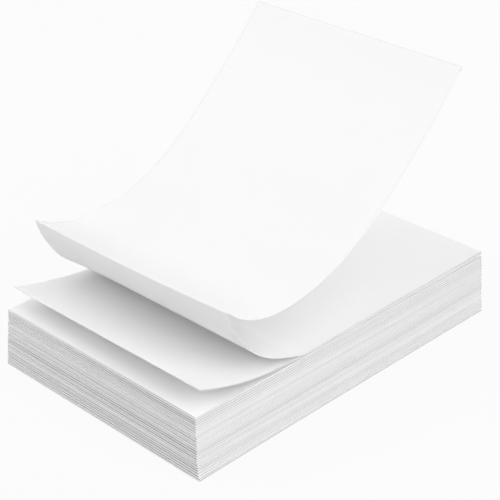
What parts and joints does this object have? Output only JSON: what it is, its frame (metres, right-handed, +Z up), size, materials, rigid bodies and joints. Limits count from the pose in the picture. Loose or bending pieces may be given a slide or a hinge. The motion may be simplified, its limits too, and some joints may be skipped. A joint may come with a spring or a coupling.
{
  "type": "fanfold thermal paper",
  "caption": "Fanfold stack of blank thermal paper: the top leaf sweeps up and back from its crease, over a curled leaf and a front fold that stands off the stack.",
  "frame": {"origin": "middle of the stack's underside, on the surface that it stands on", "axes": "+Z up, +Y along a leaf from the front folds to the back folds, +X across the paper's width"},
  "size_m": [0.1016, 0.1525, 0.1087],
  "materials": {
    "thermal_paper": "smooth coated paper with a faint sheen, white"
  },
  "bodies": {
    "root": {"fanfold_paper": "thermal_paper"}
  },
  "joints": []
}
